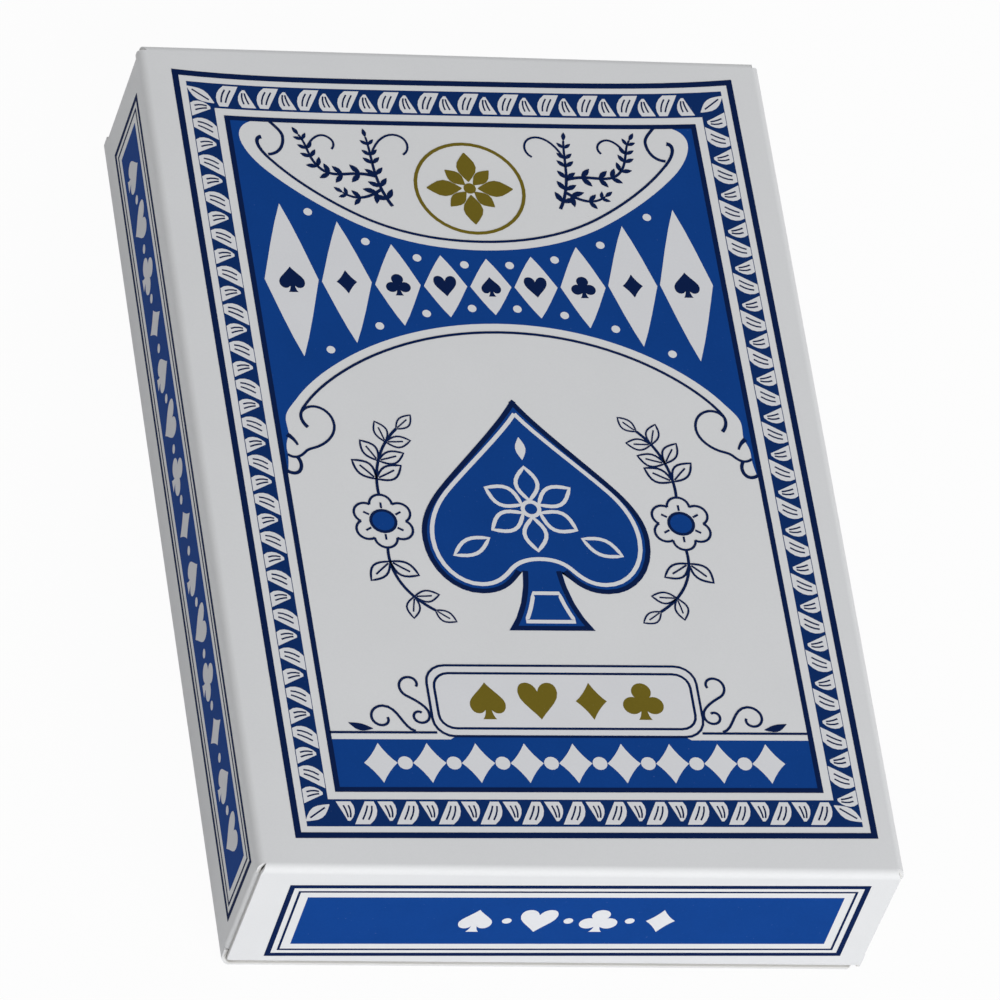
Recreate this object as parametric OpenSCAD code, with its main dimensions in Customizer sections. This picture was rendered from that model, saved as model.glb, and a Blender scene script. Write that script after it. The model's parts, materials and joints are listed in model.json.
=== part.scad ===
// Boxed deck of playing cards: a tuck-end carton lying on its back, with the cards inside it.
// X runs across the cards, Y along them towards the top end, Z up through the front panel.

/* [Cards] */
// Width of a card
card_w = 57; // [52:0.5:64]
// Length of a card
card_l = 88; // [80:0.5:92]
// Thickness of a card
card_t = 0.25; // [0.2:0.01:0.32]
// Radius of a card's corners
card_corner_r = 3.5; // [2:0.25:5]
// Air left between one card and the next
card_gap = 0.012; // [0.01:0.002:0.03]

/* [Carton] */
// Thickness of the carton board
board_t = 0.4; // [0.3:0.05:0.5]
// Inside radius of every fold
fold_in_r = 0.4; // [0.3:0.05:0.6]
// Room beside the cards, to each side panel
side_play = 1.6; // [1.4:0.1:2.5]
// Room at the card ends, to each pair of dust flaps
end_play = 1.1; // [0.9:0.1:2]
// Room over the cards, to the front panel
front_play = 0.2; // [0.15:0.05:0.5]
// Width of the glued seam flap
glue_flap_h = 11; // [8:0.5:12]
// Slope of the seam flap's ends
glue_flap_slope = 20; // [10:1:40]

/* [Closures] */
// Length of a tuck flap, from the end panel's face
tuck_l = 8.5; // [7:0.25:10]
// Upward slope of a tuck flap, in degrees
tuck_tilt = 5; // [4.5:0.25:6]
// Radius of a tuck flap's corners
tuck_corner_r = 5; // [2:0.5:6]
// Length of a dust flap, from the side panel's face
dust_l = 14; // [10:0.5:15]
// Slope of a dust flap's edge beside the front panel
dust_upper_slope = 20; // [18:1:30]
// Slope of a dust flap's edge beside the tuck flap
dust_lower_slope = 9; // [8:1:15]

/* [Clearances] */
// Between a tuck flap and the cards above it
tuck_to_cards = 0.2; // [0.15:0.05:0.4]
// Between a tuck flap's fold and the back panel
tuck_to_back = 0.1; // [0.05:0.05:0.2]
// From the carton's inner walls to each side of a tuck flap
tuck_side = 1.2; // [1:0.1:3]
// Between an end panel and the dust flaps behind it
end_to_dust = 0.1; // [0.05:0.05:0.3]
// Between a dust flap's edges and the folds above and below it
dust_edge = 0.6; // [0.5:0.1:1.5]
// From the carton's sides to the cut edges of an end panel
end_panel_edge = 0.4; // [0.2:0.1:1]
// Between two panels where a hinged fold begins
hinge_gap = 0.1; // [0.05:0.05:0.2]
// From the table to the raw lower edge of the right side panel
seam_edge = 0.1; // [0.05:0.05:0.3]

/* [Hidden] */
$fn = 64;
suits = ["spades", "hearts", "clubs", "diamonds"];
pip_ranks = ["ace", "two", "three", "four", "five", "six", "seven", "eight", "nine", "ten"];
court_count = 3;
joker_count = 2;
suit_size = len(pip_ranks) + court_count;
card_count = len(suits) * suit_size + joker_count;
card_pitch = card_t + card_gap;

fold_r = fold_in_r + board_t;
box_w = card_w + 2 * (side_play + board_t);
box_l = card_l + 2 * (end_play + 2 * board_t + end_to_dust);

// Heights: the tuck flaps slope up from a fold at the back panel, and the cards lie on them.
tuck_fold_z = board_t + tuck_to_back;
tuck_rise = (tuck_l - fold_r) * sin(tuck_tilt) - fold_in_r * cos(tuck_tilt);
tuck_tip_z = tuck_fold_z + fold_r + tuck_rise;
deck_z = tuck_tip_z + tuck_to_cards;
deck_h = card_count * card_pitch - card_gap;
box_d = deck_z + deck_h + front_play + board_t;

// Lines where panels end and folds begin, measured from the middle of the carton
front_half_w = box_w / 2 - fold_r;
seam_half_w = box_w / 2 - board_t - fold_r;
front_half_l = box_l / 2 - fold_r - hinge_gap;
dust_y = box_l / 2 - board_t - end_to_dust;
side_half_l = dust_y - fold_r - hinge_gap;
tuck_half_w = box_w / 2 - board_t - tuck_side;
end_half_w = box_w / 2 - end_panel_edge;
dust_top_z = box_d - fold_r - dust_edge;
dust_base_z = tuck_tip_z + dust_edge;

function pip_card_name(suit, rank) = str(pip_ranks[rank], "_of_", suits[suit]);
function court_name(suit) = str("court_cards_of_", suits[suit]);
ENDS = ["top", "bottom"];
SIDES = ["left", "right"];
sleeve_nodes = ["front_panel", "back_panel", "left_side_panel", "right_side_panel", "glue_flap"];
closure_nodes = [for (e = ENDS) each [str(e, "_end_panel"), str(e, "_tuck_flap")]];
dust_nodes = [for (e = ENDS, s = SIDES) str(e, "_", s, "_dust_flap")];
pip_nodes = [for (s = [0 : len(suits) - 1], r = [0 : len(pip_ranks) - 1]) pip_card_name(s, r)];
court_nodes = [for (s = [0 : len(suits) - 1]) court_name(s)];

// A flat plate from its low corner to its high corner
module plate(low, high) {
    translate(low)
        cube(high - low);
}

// A quarter of a folded edge about its bend centre; the two signs choose the quarter
module fold_quarter(sign_a, sign_b) {
    intersection() {
        difference() {
            circle(fold_r);
            circle(fold_in_r);
        }
        translate([sign_a > 0 ? 0 : -2 * fold_r, sign_b > 0 ? 0 : -2 * fold_r])
            square(2 * fold_r);
    }
}

// Carries a profile of (x, z) along the box, as far as half_l to each side of the middle
module along_box(half_l) {
    rotate([90, 0, 0])
        translate([0, 0, -half_l])
            linear_extrude(2 * half_l)
                children();
}

// Carries a profile of (y, z) across the box, as far as half_w to each side of the middle
module across_box(half_w) {
    rotate([90, 0, 90])
        translate([0, 0, -half_w])
            linear_extrude(2 * half_w)
                children();
}

// Shapes are drawn at the top end and the left side, and mirrored to the other ones.
module at_end(end) {
    mirror([0, end == "bottom" ? 1 : 0, 0])
        children();
}

module at_side(side) {
    mirror([side == "right" ? 1 : 0, 0, 0])
        children();
}

module front_panel() {
    color("whitesmoke")
        plate([-front_half_w, -front_half_l, box_d - board_t], [front_half_w, front_half_l, box_d]);
}

module back_panel() {
    color("whitesmoke")
        plate([fold_r - box_w / 2, -box_l / 2, 0], [seam_half_w, box_l / 2, board_t]);
}

// The left side has both of its long folds.
module left_side_panel() {
    color("whitesmoke")
        along_box(side_half_l) {
            translate([-box_w / 2, fold_r])
                square([board_t, box_d - 2 * fold_r]);
            translate([-front_half_w, box_d - fold_r])
                fold_quarter(-1, 1);
            translate([-front_half_w, fold_r])
                fold_quarter(-1, -1);
        }
}

// The right side folds down from the front panel and ends in a raw edge over the seam.
module right_side_panel() {
    color("whitesmoke")
        along_box(side_half_l) {
            translate([box_w / 2 - board_t, seam_edge])
                square([board_t, box_d - fold_r - seam_edge]);
            translate([front_half_w, box_d - fold_r])
                fold_quarter(1, 1);
        }
}

// The seam flap folds up from the back panel and is glued inside the right side panel.
module glue_flap() {
    flap_half_l = side_half_l - hinge_gap;
    tip_half_l = flap_half_l - (glue_flap_h - fold_r) * tan(glue_flap_slope);
    color("whitesmoke") {
        along_box(flap_half_l)
            translate([seam_half_w, fold_r])
                fold_quarter(1, -1);
        translate([box_w / 2 - 1.5 * board_t, 0, 0])
            across_box(board_t / 2)
                polygon([
                    [-flap_half_l, fold_r],
                    [flap_half_l, fold_r],
                    [tip_half_l, glue_flap_h],
                    [-tip_half_l, glue_flap_h]
                ]);
    }
}

// An end panel hangs from the front panel by its upper fold; its lower fold leads to the tuck flap.
module end_panel(end) {
    color("whitesmoke")
        at_end(end)
            across_box(end_half_w) {
                translate([box_l / 2 - board_t, tuck_fold_z + fold_r])
                    square([board_t, box_d - tuck_fold_z - 2 * fold_r]);
                translate([box_l / 2 - fold_r, box_d - fold_r])
                    fold_quarter(1, 1);
                translate([box_l / 2 - fold_r, tuck_fold_z + fold_r])
                    fold_quarter(1, -1);
            }
}

// A tuck flap's outline, from its tip at zero to its fold, with round corners at the tip
module tuck_outline(reach) {
    round_half_w = tuck_half_w - tuck_corner_r;
    intersection() {
        translate([-tuck_half_w, 0])
            square([2 * tuck_half_w, reach]);
        union() {
            translate([-tuck_half_w, tuck_corner_r])
                square([2 * tuck_half_w, reach]);
            translate([-round_half_w, 0])
                square([2 * round_half_w, reach]);
            for (side = [-1, 1])
                translate([side * round_half_w, tuck_corner_r])
                    circle(tuck_corner_r);
        }
    }
}

// The tuck flap slopes up between the back panel and the cards.
module tuck_flap(end) {
    reach = tuck_l - fold_r;
    color("whitesmoke")
        at_end(end)
            translate([0, box_l / 2 - fold_r, tuck_fold_z + fold_r])
                rotate([-tuck_tilt, 0, 0])
                    translate([0, -reach, -fold_r])
                        linear_extrude(board_t)
                            tuck_outline(reach);
}

// A dust flap folds in from a side panel, behind the end panel, and narrows towards its tip.
module dust_flap(end, side) {
    run = dust_l - fold_r;
    color("whitesmoke")
        at_end(end)
            at_side(side) {
                translate([-front_half_w, dust_y - fold_r, dust_base_z])
                    linear_extrude(dust_top_z - dust_base_z)
                        fold_quarter(-1, 1);
                translate([-front_half_w, dust_y, 0])
                    rotate([90, 0, 0])
                        linear_extrude(board_t)
                            polygon([
                                [0, dust_base_z],
                                [run, dust_base_z + run * tan(dust_lower_slope)],
                                [run, dust_top_z - run * tan(dust_upper_slope)],
                                [0, dust_top_z]
                            ]);
            }
}

// One card of the deck; slot counts up from the back panel
module card(slot) {
    color("white")
        translate([0, 0, deck_z + slot * card_pitch])
            linear_extrude(card_t) {
                square([card_w, card_l - 2 * card_corner_r], center = true);
                square([card_w - 2 * card_corner_r, card_l], center = true);
                for (x = [-1, 1], y = [-1, 1])
                    translate([x * (card_w / 2 - card_corner_r), y * (card_l / 2 - card_corner_r)])
                        circle(card_corner_r);
            }
}

// The jack, queen and king that follow a suit's ten
module court_cards(suit) {
    for (court = [0 : court_count - 1])
        card(suit * suit_size + len(pip_ranks) + court);
}

module jokers() {
    for (joker = [0 : joker_count - 1])
        card(len(suits) * suit_size + joker);
}

front_panel();
back_panel();
left_side_panel();
right_side_panel();
glue_flap();
for (end = ENDS) {
    end_panel(end);
    tuck_flap(end);
    for (side = SIDES)
        dust_flap(end, side);
}
for (suit = [0 : len(suits) - 1]) {
    for (rank = [0 : len(pip_ranks) - 1])
        card(suit * suit_size + rank);
    court_cards(suit);
}
jokers();
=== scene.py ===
"""Looks of a boxed deck of playing cards: folded carton board, its printed inks, and the cards inside."""
import json
import math

import bpy
import numpy as np
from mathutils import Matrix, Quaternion, Vector

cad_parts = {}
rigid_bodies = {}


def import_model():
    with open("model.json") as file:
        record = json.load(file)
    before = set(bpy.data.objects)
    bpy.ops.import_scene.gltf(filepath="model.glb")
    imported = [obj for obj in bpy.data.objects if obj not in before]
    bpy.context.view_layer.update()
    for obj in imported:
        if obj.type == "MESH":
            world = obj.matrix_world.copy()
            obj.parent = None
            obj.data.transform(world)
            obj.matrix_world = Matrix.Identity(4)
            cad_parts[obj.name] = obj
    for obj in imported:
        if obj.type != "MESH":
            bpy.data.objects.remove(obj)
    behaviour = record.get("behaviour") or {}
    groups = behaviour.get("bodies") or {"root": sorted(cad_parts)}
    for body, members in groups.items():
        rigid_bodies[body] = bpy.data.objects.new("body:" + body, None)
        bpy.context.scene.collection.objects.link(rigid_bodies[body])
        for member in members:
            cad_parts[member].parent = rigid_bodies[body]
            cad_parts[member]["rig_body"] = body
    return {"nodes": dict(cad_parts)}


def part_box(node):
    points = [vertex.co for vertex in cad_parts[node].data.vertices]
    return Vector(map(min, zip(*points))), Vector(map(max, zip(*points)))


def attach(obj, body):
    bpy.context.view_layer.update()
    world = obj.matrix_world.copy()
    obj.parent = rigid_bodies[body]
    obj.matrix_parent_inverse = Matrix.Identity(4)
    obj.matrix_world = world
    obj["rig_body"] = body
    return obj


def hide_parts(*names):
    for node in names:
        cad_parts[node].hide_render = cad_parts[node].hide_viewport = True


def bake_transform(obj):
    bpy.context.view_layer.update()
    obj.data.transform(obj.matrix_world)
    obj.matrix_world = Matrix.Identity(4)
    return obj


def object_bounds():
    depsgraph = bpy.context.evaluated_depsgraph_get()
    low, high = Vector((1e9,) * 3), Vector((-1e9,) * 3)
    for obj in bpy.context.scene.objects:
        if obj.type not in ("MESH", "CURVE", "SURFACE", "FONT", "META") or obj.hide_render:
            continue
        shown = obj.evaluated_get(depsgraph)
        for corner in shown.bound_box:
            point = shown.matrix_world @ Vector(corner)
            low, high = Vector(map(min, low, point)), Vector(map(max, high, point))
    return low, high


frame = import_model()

cad_low, cad_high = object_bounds()
MM = 0.001

# Sizes taken from the frame
front_low, front_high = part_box("front_panel")
glue_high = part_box("glue_flap")[1]
lid_low, lid_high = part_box("top_end_panel")
tuck_low, tuck_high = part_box("top_tuck_flap")
dust_low, dust_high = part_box("top_right_dust_flap")
seam_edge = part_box("right_side_panel")[0].z
BOARD = front_high.z - front_low.z
FOLD_R = cad_high.x - front_high.x
HINGE_GAP = lid_high.y - FOLD_R - front_high.y
HALF_W = cad_high.x
HALF_L = cad_high.y
DEPTH = cad_high.z

# Sizes chosen
PRINT_RELIEF = 0.035 * MM
INK_LAYER = 0.009 * MM
INK_STEP = 0.0012 * MM
INK_STEPS = 7
INK_SINK = 0.004 * MM
TUCK_TILT = math.radians(5)
TUCK_CORNER = 5 * MM
DUST_UPPER_SLOPE = math.tan(math.radians(20))
DUST_LOWER_SLOPE = math.tan(math.radians(9))
DUST_CORNER = 2 * MM
GLUE_SLOPE = math.tan(math.radians(20))
FLAT_STEPS = 12
BEND_STEPS = 10
SHARP_ANGLE = math.radians(40)
DUST_R = 0.5 * MM
CORNER_GAP = 0.5 * MM
RIM_SETBACK = 0.2 * MM
NOTCH = 0.05 * MM

# The board's outer skin lies below the solids' faces by the height of the print that stands on it.
SKIN_R = FOLD_R - PRINT_RELIEF
SKIN_T = BOARD - PRINT_RELIEF
INNER_R = FOLD_R - BOARD


# Meshes

def quads(index):
    """Four-cornered faces of a grid of vertex numbers, each taken once round its cell."""
    corners = (index[:-1, :-1], index[1:, :-1], index[1:, 1:], index[:-1, 1:])
    return np.stack([c.ravel() for c in corners], axis=1)


def closed_sheet(top, bottom):
    """Vertices and faces of the solid between two grids: both surfaces, and walls round their border.
    A grid whose first and last rows meet is a ring, which has walls along its two long edges only."""
    ring = np.allclose(top[0], top[-1], atol=1e-9)
    if ring:
        top, bottom = top[:-1], bottom[:-1]
    across = np.cross(np.roll(top, -1, 0)[:-1, :-1] - top[:-1, :-1], top[:-1, 1:] - top[:-1, :-1])
    if np.sum(across * (top - bottom)[:-1, :-1]) < 0:
        top, bottom = top[:, ::-1], bottom[:, ::-1]
    rows, columns = top.shape[:2]
    index = np.arange(rows * columns).reshape(rows, columns)
    if ring:
        index = np.vstack([index, index[:1]])
        borders = [index[:, 0], index[::-1, -1]]
    else:
        borders = [np.concatenate([index[:-1, 0], index[-1, :-1], index[:0:-1, -1], index[0, :0:-1], [0]])]
    under = rows * columns
    faces = [quads(index), quads(index)[:, ::-1] + under]
    for line in borders:
        a, b = line[:-1], line[1:]
        faces.append(np.stack([a + under, b + under, b, a], axis=1))
    return np.concatenate([top.reshape(-1, 3), bottom.reshape(-1, 3)]), np.concatenate(faces)


def in_scene(name, data):
    """A new object in the scene with its mesh, lamp or camera."""
    thing = bpy.data.objects.new(name, data)
    bpy.context.scene.collection.objects.link(thing)
    return thing


def new_piece(name, sheets, material, values=None):
    """One mesh object from closed sheets, smooth except at sharp edges; values are numbers kept on
    its vertices."""
    count, points, faces = 0, [], []
    for vertices, cells in sheets:
        points.append(vertices)
        faces.append(cells + count)
        count += len(vertices)
    mesh = bpy.data.meshes.new(name)
    mesh.from_pydata(np.concatenate(points), [], np.concatenate(faces))
    mesh.polygons.foreach_set("use_smooth", np.ones(len(mesh.polygons), dtype=bool))
    mesh.set_sharp_from_angle(angle=SHARP_ANGLE)
    for key, numbers in (values or {}).items():
        mesh.attributes.new(key, "FLOAT", "POINT").data.foreach_set("value", numbers.astype(np.float32))
    mesh.materials.append(material)
    mesh.update()
    return in_scene(name, mesh)


# Materials

BOARD_OUTSIDE = (0.76, 0.77, 0.785)
BOARD_INSIDE = (0.7, 0.69, 0.665)
# Paler board colour along the folds: partly rubbed wear, partly a painted highlight where the folds catch the
# light
BOARD_RUBBED_AND_HIGHLIT = (0.86, 0.87, 0.88)
FOLD_RUB_AND_HIGHLIGHT = 0.5
CARD_FACE = (0.84, 0.84, 0.83)
CARD_EDGE = (0.74, 0.72, 0.67)
BARE_PAPER = (0.76, 0.77, 0.80)
SPECK_PAPER = (0.6, 0.63, 0.7)
BLUE = (0.007, 0.056, 0.272)
DEEP_BLUE = (0.006, 0.03, 0.14)
NAVY = (0.005, 0.016, 0.075)
OCHRE = (0.175, 0.135, 0.017)
ROUGHNESS_RANGE = 0.08
BOARD_SHINE = 0.12
INK_SHINE = 0.004


def add_node(tree, kind, **settings):
    """A new shader node, with its plain settings given by name."""
    node = tree.nodes.new(kind)
    for key, value in settings.items():
        setattr(node, key, value)
    return node


def feed(tree, socket, value):
    """Gives a socket its value: a number, a colour or another node's output."""
    if isinstance(value, tuple):
        socket.default_value = (*value, 1)
    elif isinstance(value, (int, float)):
        socket.default_value = value
    else:
        tree.links.new(value, socket)


def math_node(tree, operation, a, b):
    """One sum of two values; each is a number or another node's output."""
    node = add_node(tree, "ShaderNodeMath", operation=operation)
    for socket, value in zip(node.inputs, (a, b)):
        feed(tree, socket, value)
    return node.outputs[0]


def mix_colour(tree, factor, a, b, blend="MIX"):
    """A mix of two colours; each is a tuple or another node's output."""
    node = add_node(tree, "ShaderNodeMix", data_type="RGBA", blend_type=blend)
    for socket, value in zip((node.inputs[0], node.inputs[6], node.inputs[7]), (factor, a, b)):
        feed(tree, socket, value)
    return node.outputs[2]


def spread(tree, value, low, high, start=0.0, end=1.0):
    """A value between start and end, spread evenly from low to high."""
    node = add_node(tree, "ShaderNodeMapRange")
    tree.links.new(value, node.inputs["Value"])
    for key, number in (("From Min", start), ("From Max", end), ("To Min", low), ("To Max", high)):
        node.inputs[key].default_value = number
    return node.outputs[0]


def make_paper_grain():
    """Fibre grain of pressed paper: fine and coarse noise give a shade near one and a height."""
    group = bpy.data.node_groups.new("paper_grain", "ShaderNodeTree")
    for key, way in (("Grain Scale", "INPUT"), ("Cloud Scale", "INPUT"), ("Contrast", "INPUT"),
                     ("Shade", "OUTPUT"), ("Height", "OUTPUT")):
        group.interface.new_socket(key, in_out=way, socket_type="NodeSocketFloat")
    given = add_node(group, "NodeGroupInput")
    result = add_node(group, "NodeGroupOutput")
    place = add_node(group, "ShaderNodeTexCoord").outputs["Object"]
    grain = add_node(group, "ShaderNodeTexNoise")
    cloud = add_node(group, "ShaderNodeTexNoise")
    grain.inputs["Detail"].default_value = 3
    cloud.inputs["Detail"].default_value = 4
    for noise, scale in ((grain, "Grain Scale"), (cloud, "Cloud Scale")):
        group.links.new(place, noise.inputs["Vector"])
        group.links.new(given.outputs[scale], noise.inputs["Scale"])
    both = math_node(group, "ADD", grain.outputs[0], cloud.outputs[0])
    centred = math_node(group, "SUBTRACT", both, 1.0)
    shade = math_node(group, "MULTIPLY", centred, given.outputs["Contrast"])
    group.links.new(math_node(group, "ADD", shade, 1.0), result.inputs["Shade"])
    group.links.new(grain.outputs[0], result.inputs["Height"])
    return group


paper_grain = make_paper_grain()


def start_material(name, grain_scale, cloud_scale, contrast):
    """A new material with its shader, and the paper grain placed with its own values."""
    material = bpy.data.materials.new(name)
    material.use_nodes = True
    tree = material.node_tree
    grain = add_node(tree, "ShaderNodeGroup", node_tree=paper_grain)
    for key, value in (("Grain Scale", grain_scale), ("Cloud Scale", cloud_scale), ("Contrast", contrast)):
        grain.inputs[key].default_value = value
    return material, tree, tree.nodes["Principled BSDF"], grain


def raise_grain(tree, shader, height, distance, strength):
    """Lets a height roughen the surface by a bump of that depth."""
    bump = add_node(tree, "ShaderNodeBump")
    bump.inputs["Distance"].default_value = distance
    bump.inputs["Strength"].default_value = strength
    tree.links.new(height, bump.inputs["Height"])
    tree.links.new(bump.outputs[0], shader.inputs["Normal"])


def shaded(tree, colour, grain):
    """A colour made a little darker and lighter by the paper grain's shade."""
    grey = add_node(tree, "ShaderNodeCombineColor")
    for socket in grey.inputs:
        tree.links.new(grain.outputs["Shade"], socket)
    return mix_colour(tree, 1.0, colour, grey.outputs[0], "MULTIPLY")


def make_board():
    """Coated carton board: white outside, greyer and rougher inside, paler along its folds as rubbed wear and
    a painted highlight.
    """
    material, tree, shader, grain = start_material("coated_board", grain_scale=5200, cloud_scale=130,
                                                   contrast=0.05)
    inside = add_node(tree, "ShaderNodeAttribute", attribute_name="inside").outputs["Fac"]
    crease = add_node(tree, "ShaderNodeAttribute", attribute_name="crease").outputs["Fac"]
    face = mix_colour(tree, inside, BOARD_OUTSIDE, BOARD_INSIDE)
    # The folds are made paler: partly rubbed wear, partly a painted highlight
    rubbed_and_highlit = mix_colour(tree, math_node(tree, "MULTIPLY", crease, FOLD_RUB_AND_HIGHLIGHT), face, BOARD_RUBBED_AND_HIGHLIT)
    tree.links.new(shaded(tree, rubbed_and_highlit, grain), shader.inputs["Base Color"])
    tree.links.new(spread(tree, inside, low=0.45, high=0.8), shader.inputs["Roughness"])
    shader.inputs["Specular IOR Level"].default_value = BOARD_SHINE
    raise_grain(tree, shader, grain.outputs["Height"], distance=0.01 * MM, strength=0.35)
    return material


def make_ink(name, colour, missed, roughness, contrast=0.16):
    """Printed ink: its colour varies with the paper grain, and paper shows where the grain is highest."""
    material, tree, shader, grain = start_material(name, grain_scale=4300, cloud_scale=210, contrast=contrast)
    height = grain.outputs["Height"]
    speck = spread(tree, height, low=0.0, high=0.5, start=1 - missed)
    specked = mix_colour(tree, speck, shaded(tree, colour, grain), SPECK_PAPER)
    tree.links.new(specked, shader.inputs["Base Color"])
    sheen = spread(tree, height, roughness - ROUGHNESS_RANGE, roughness + ROUGHNESS_RANGE)
    tree.links.new(sheen, shader.inputs["Roughness"])
    shader.inputs["Specular IOR Level"].default_value = INK_SHINE
    return material


def make_card_stock():
    """Card paper: glossy white faces, and cut edges that are duller and creamier."""
    material, tree, shader, grain = start_material("card_paper", grain_scale=6500, cloud_scale=160,
                                                   contrast=0.04)
    place = add_node(tree, "ShaderNodeSeparateXYZ")
    tree.links.new(add_node(tree, "ShaderNodeTexCoord").outputs["Object"], place.inputs[0])
    card_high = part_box("jokers")[1]
    far_x = math_node(tree, "DIVIDE", math_node(tree, "ABSOLUTE", place.outputs["X"], 0.0), card_high.x)
    far_y = math_node(tree, "DIVIDE", math_node(tree, "ABSOLUTE", place.outputs["Y"], 0.0), card_high.y)
    edge = spread(tree, math_node(tree, "MAXIMUM", far_x, far_y), low=0.0, high=1.0, start=0.996, end=0.999)
    face = mix_colour(tree, edge, CARD_FACE, CARD_EDGE)
    tree.links.new(shaded(tree, face, grain), shader.inputs["Base Color"])
    tree.links.new(spread(tree, edge, low=0.32, high=0.75), shader.inputs["Roughness"])
    raise_grain(tree, shader, grain.outputs["Height"], distance=0.006 * MM, strength=0.3)
    return material


coated_board = make_board()
card_paper = make_card_stock()
inks = {
    "blue": make_ink("blue_ink", BLUE, missed=0.28, roughness=0.42),
    "pale": make_ink("knocked_out_paper", BARE_PAPER, missed=0.2, roughness=0.45, contrast=0.05),
    "deep": make_ink("deep_blue_ink", DEEP_BLUE, missed=0.28, roughness=0.42),
    "navy": make_ink("navy_ink", NAVY, missed=0.26, roughness=0.42),
    "gold": make_ink("ochre_ink", OCHRE, missed=0.28, roughness=0.4),
}
ink_layers = {"blue": 1, "deep": 1, "pale": 2, "navy": 3, "gold": 3}


# Carton board

def folded_path(corners, reaches):
    """A path of straight runs joined by quarter bends, each turning left, with its outward normals.
    Each run has its reach along the box at shares of its length; a bend's reach goes evenly from run
    to run."""
    corners = np.array(corners)
    along = np.diff(corners, axis=0)
    along /= np.linalg.norm(along, axis=1, keepdims=True)
    outward = np.stack([along[:, 1], -along[:, 0]], axis=1)
    turn = np.linspace(0, 1, BEND_STEPS + 1)[1:-1, None]
    last = len(along) - 1
    parts = []
    for k in range(last + 1):
        start = corners[k] + along[k] * SKIN_R * (k > 0)
        end = corners[k + 1] - along[k] * SKIN_R * (k < last)
        shares, lengths = np.array(reaches[k]).T
        step = np.unique(np.concatenate([np.linspace(0, 1, FLAT_STEPS + 1), shares]))
        flat = np.repeat(outward[k][None], len(step), axis=0)
        reach = np.interp(step, shares, lengths)[:, None]
        step = step[:, None]
        parts.append(np.hstack([start + (end - start) * step, flat, reach, 0 * step]))
        if k < last:
            angle = turn * math.pi / 2
            normal = np.cos(angle) * outward[k] + np.sin(angle) * outward[k + 1]
            centre = end - outward[k] * SKIN_R
            reach = reaches[k][-1][1] + (reaches[k + 1][0][1] - reaches[k][-1][1]) * turn
            parts.append(np.hstack([centre + normal * SKIN_R, normal, reach, np.sin(2 * angle)]))
    path = np.vstack(parts)
    return path[:, 0:2], path[:, 2:4], path[:, 4], path[:, 5]


def side_reach(from_z, to_z):
    """How far a side panel reaches along the box: short where a dust flap bends off it, longer at the
    shoulders above and below."""
    shoulder, short = HALF_L - CORNER_GAP, dust_high.y - DUST_R
    heights = (dust_high.z + 2 * NOTCH, dust_high.z + NOTCH, dust_low.z - NOTCH, dust_low.z - 2 * NOTCH)
    stops = [((z - from_z) / (to_z - from_z), length)
             for z, length in zip(heights, (shoulder, short, short, shoulder))]
    return sorted([(0, shoulder), (1, shoulder), *stops])


def board_piece(name, outer, inner, crease=0.0):
    """A piece of carton board between its outer and inner grids; crease says how far each row is a fold."""
    folds = np.broadcast_to(crease, outer.shape[:2])
    values = {"inside": np.repeat([0.0, 1.0], folds.size), "crease": np.tile(folds.ravel(), 2)}
    return new_piece(name, [closed_sheet(outer, inner)], coated_board, values)


def make_sleeve():
    """The sleeve: one folded profile of board carried along the box, from the right side's raw edge
    over the front, down the left side, under the back and up inside the right side as the glued seam."""
    skin_w, skin_l = HALF_W - PRINT_RELIEF, HALF_L - PRINT_RELIEF
    top, base = DEPTH - PRINT_RELIEF, PRINT_RELIEF
    seam_w = glue_high.x - PRINT_RELIEF
    front_l, back_l = front_high.y + HINGE_GAP, skin_l - RIM_SETBACK
    seam_tip_l = glue_high.y - (glue_high.z - FOLD_R) * GLUE_SLOPE
    corners = [(skin_w, seam_edge), (skin_w, top), (-skin_w, top), (-skin_w, base), (seam_w, base),
               (seam_w, glue_high.z)]
    left_side = side_reach(top - SKIN_R, base + SKIN_R)
    right_side = side_reach(seam_edge, top - SKIN_R)
    reaches = [right_side, [(0, front_l), (1, front_l)], left_side, [(0, back_l), (1, back_l)],
               [(0, glue_high.y), (1, seam_tip_l)]]
    path, outward, reach, bend = folded_path(corners, reaches)
    share = np.linspace(-1, 1, 2 * FLAT_STEPS + 1)
    y = reach[:, None] * share

    def surface(depth):
        """The profile at a depth below the outer skin, carried along the box."""
        line = path - outward * depth
        x, z = (np.broadcast_to(part, y.shape) for part in (line[:, :1], line[:, 1:]))
        return np.stack([x, y, z], axis=2)

    return board_piece("carton_sleeve", surface(0), surface(SKIN_T), bend[:, None])


def bend_strip(name, centre, radius, start, end, widths, place):
    """A bent strip of board: an arc of the fold's outer radius about its centre, carried along the fold.
    widths are its two edges along the fold, each at the arc's start and end; place puts (a, b, along)
    in space."""
    share = np.linspace(0, 1, BEND_STEPS + 1)[:, None]
    angle = np.radians(start + (end - start) * share)
    low, high = (first + (last - first) * share for first, last in widths)
    along = low + (high - low) * np.linspace(0, 1, FLAT_STEPS + 1)

    def surface(depth):
        """The arc at a depth below the fold's outer face, carried along the fold."""
        a = np.broadcast_to(centre[0] + (radius - depth) * np.cos(angle), along.shape)
        b = np.broadcast_to(centre[1] + (radius - depth) * np.sin(angle), along.shape)
        return place(a, b, along)

    return board_piece(name, surface(PRINT_RELIEF), surface(BOARD), np.sin(math.pi * share))


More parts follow.
